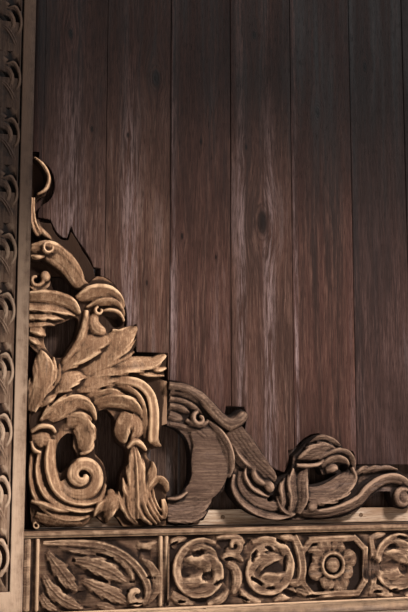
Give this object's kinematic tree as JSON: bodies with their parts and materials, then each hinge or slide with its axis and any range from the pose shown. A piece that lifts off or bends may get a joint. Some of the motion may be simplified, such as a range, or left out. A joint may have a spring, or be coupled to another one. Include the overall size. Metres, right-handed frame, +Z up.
{
  "type": "carved temple door",
  "caption": "Plank door leaf with openwork scroll carving in its lower corner, turning on wooden pivots in a timber frame with carved jambs and a carved sill.",
  "frame": {"origin": "centre of the footprint on the floor, under the middle of the frame", "axes": "+X along the door from the hinge side to the closing side, +Y into the building (the leaf opens that way), +Z up; the carved face looks along -Y"},
  "size_m": [1.251, 0.15, 2.145],
  "materials": {
    "frame_timber": "weathered, dusty",
    "plank_timber": "oiled and worn",
    "back_timber": "rough, dark",
    "ledge_timber": "bleached, dusty",
    "carved_timber": "weathered"
  },
  "bodies": {
    "frame": {"base_sill": "frame_timber", "threshold": "frame_timber", "carved_sill_rail": "frame_timber", "jamb_left": "frame_timber", "jamb_right": "frame_timber", "lintel": "frame_timber"},
    "leaf": {"hanging_stile": "plank_timber", "plank_1": "plank_timber", "plank_2": "plank_timber", "plank_3": "plank_timber", "plank_4": "plank_timber", "plank_5": "plank_timber", "plank_6": "plank_timber", "plank_7": "plank_timber", "ledge": "ledge_timber", "ledge_dowels": "ledge_timber", "back_board_1": "back_timber", "back_board_2": "back_timber", "back_board_3": "back_timber", "back_board_4": "back_timber", "back_board_5": "back_timber", "back_board_6": "back_timber", "batten_1": "back_timber", "batten_2": "back_timber", "batten_3": "back_timber", "left_carving": "carved_timber", "arch_carving": "carved_timber", "wave_carving": "carved_timber"}
  },
  "joints": [
    {"name": "leaf_swing", "type": "hinge", "parent": "frame", "child": "leaf", "pos_m": [-0.4735, 0.019, 0.215], "axis": [0, 0, 1], "range_deg": [0, 90]}
  ]
}
